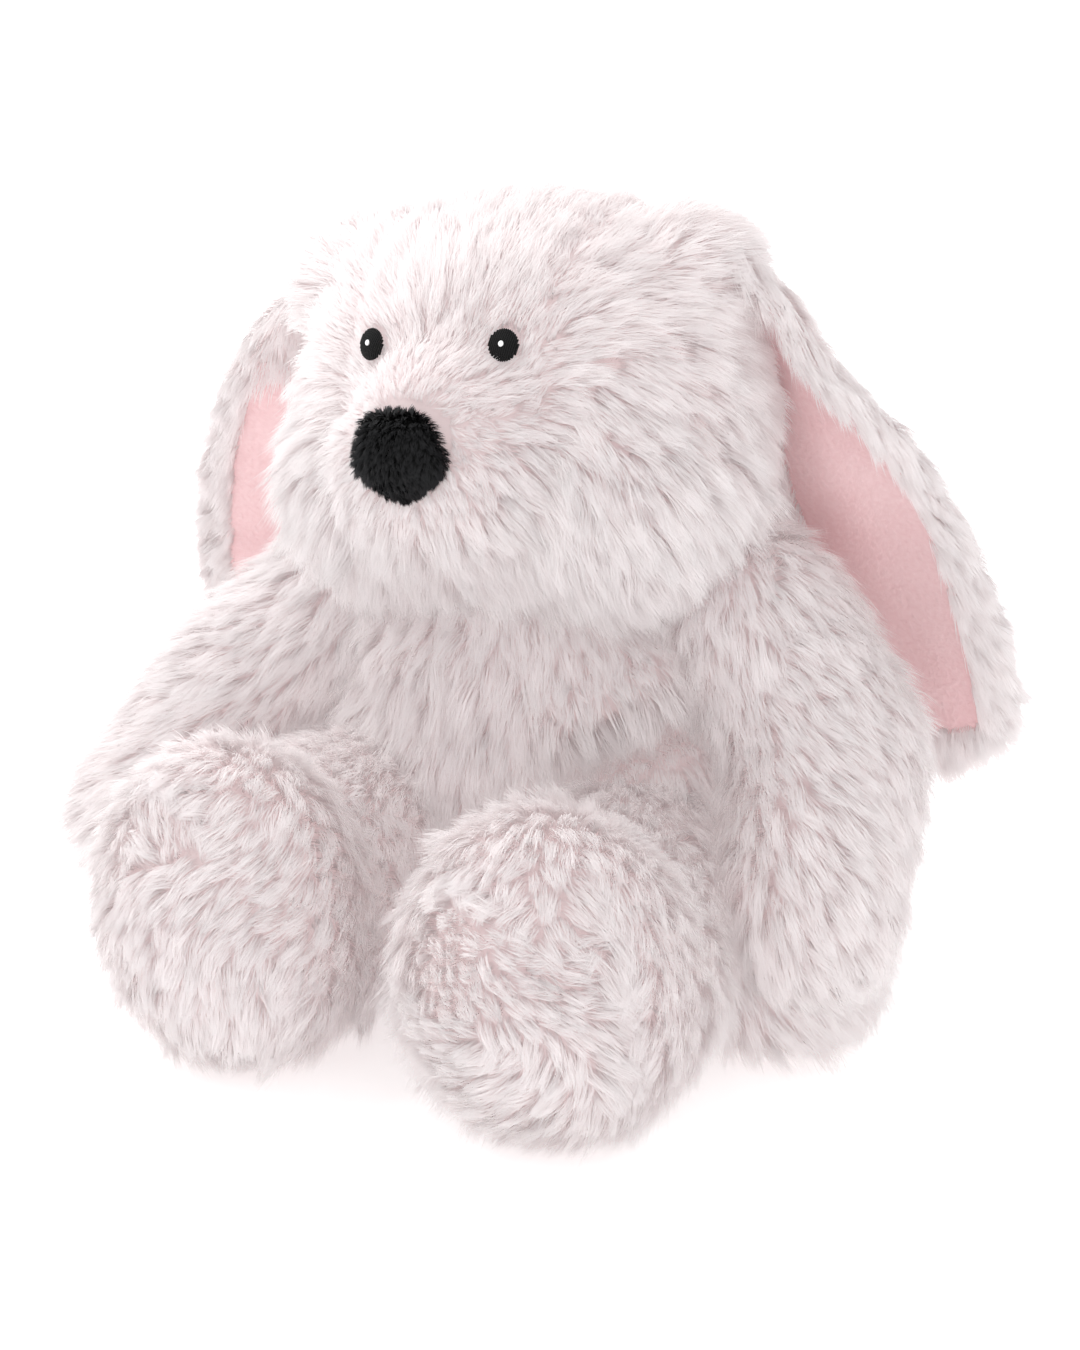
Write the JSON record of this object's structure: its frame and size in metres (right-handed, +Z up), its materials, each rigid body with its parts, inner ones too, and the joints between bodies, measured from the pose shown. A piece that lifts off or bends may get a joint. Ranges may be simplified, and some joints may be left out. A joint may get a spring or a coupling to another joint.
{
  "type": "stuffed bunny rabbit",
  "caption": "Seated long-pile plush rabbit with lop ears, pink velvet ear linings, black nose and eyes, weighted seat and jointed head, ears, arms and legs.",
  "frame": {"origin": "on the floor, in the flat rest face under the torso, on the toy's centre line", "axes": "+Z up, the face and feet point along -Y, the toy's left is +X"},
  "size_m": [0.3336, 0.271, 0.2774],
  "materials": {
    "long_pile_fur": "long soft pile, very pale pink white",
    "pink_velvet": "short smooth velvet pile",
    "black_plush": "short dense black pile",
    "black_embroidery": "satin stitch thread",
    "white_embroidery": "satin stitch thread",
    "fibre_stuffing": "loose polyester fibre",
    "cotton_liner": "plain woven cotton",
    "grain": "loose dried seed",
    "sewing_thread": "twisted thread"
  },
  "bodies": {
    "torso": {"body_front_panel": "long_pile_fur", "body_back_left_panel": "long_pile_fur", "body_back_right_panel": "long_pile_fur", "back_closing_stitches": "sewing_thread", "body_stuffing": "fibre_stuffing", "grain_pouch_liner": "cotton_liner", "grain_fill": "grain", "tail_cover": "long_pile_fur", "tail_stuffing": "fibre_stuffing"},
    "neck": {"neck_cover": "long_pile_fur", "neck_stuffing": "fibre_stuffing"},
    "head": {"head_gusset_panel": "long_pile_fur", "head_left_panel": "long_pile_fur", "head_right_panel": "long_pile_fur", "head_stuffing": "fibre_stuffing", "left_eye": "black_embroidery", "right_eye": "black_embroidery", "left_eye_highlight": "white_embroidery", "right_eye_highlight": "white_embroidery", "nose_cover": "black_plush", "nose_stuffing": "fibre_stuffing"},
    "left_ear": {"left_ear_back_panel": "long_pile_fur", "left_ear_lining": "pink_velvet"},
    "left_arm": {"left_arm_outer_panel": "long_pile_fur", "left_arm_inner_panel": "long_pile_fur", "left_arm_stuffing": "fibre_stuffing"},
    "left_leg": {"left_leg_upper_panel": "long_pile_fur", "left_leg_under_panel": "long_pile_fur", "left_foot_sole_panel": "long_pile_fur", "left_leg_stuffing": "fibre_stuffing"},
    "right_ear": {"right_ear_back_panel": "long_pile_fur", "right_ear_lining": "pink_velvet"},
    "right_arm": {"right_arm_outer_panel": "long_pile_fur", "right_arm_inner_panel": "long_pile_fur", "right_arm_stuffing": "fibre_stuffing"},
    "right_leg": {"right_leg_upper_panel": "long_pile_fur", "right_leg_under_panel": "long_pile_fur", "right_foot_sole_panel": "long_pile_fur", "right_leg_stuffing": "fibre_stuffing"}
  },
  "joints": [
    {"name": "neck_turn", "type": "hinge", "parent": "torso", "child": "neck", "pos_m": [0, 0.002, 0.15], "axis": [0, 0, 1], "range_deg": [-10, 10]},
    {"name": "head_nod", "type": "hinge", "parent": "neck", "child": "head", "pos_m": [0, 0.002, 0.15], "axis": [1, 0, 0], "range_deg": [-8, 14]},
    {"name": "left_ear_swing", "type": "hinge", "parent": "head", "child": "left_ear", "pos_m": [0.072, 0.011, 0.272], "axis": [0.9197, -0.2904, 0.264], "range_deg": [0, 75]},
    {"name": "right_ear_swing", "type": "hinge", "parent": "head", "child": "right_ear", "pos_m": [-0.078, 0.01, 0.254], "axis": [0.921, 0.2908, -0.2592], "range_deg": [0, 75]},
    {"name": "left_shoulder_raise", "type": "hinge", "parent": "torso", "child": "left_arm", "pos_m": [0.076, 0.004, 0.131], "axis": [-0.6178, -0.7863, 0], "range_deg": [0, 75]},
    {"name": "right_shoulder_raise", "type": "hinge", "parent": "torso", "child": "right_arm", "pos_m": [-0.074, 0.008, 0.127], "axis": [-0.6727, 0.7399, 0], "range_deg": [0, 75]},
    {"name": "left_hip_lift", "type": "hinge", "parent": "torso", "child": "left_leg", "pos_m": [0.052, -0.03, 0.046], "axis": [-1, 0, 0], "range_deg": [0, 18]},
    {"name": "right_hip_lift", "type": "hinge", "parent": "torso", "child": "right_leg", "pos_m": [-0.05, -0.03, 0.046], "axis": [-1, 0, 0], "range_deg": [0, 18]}
  ]
}
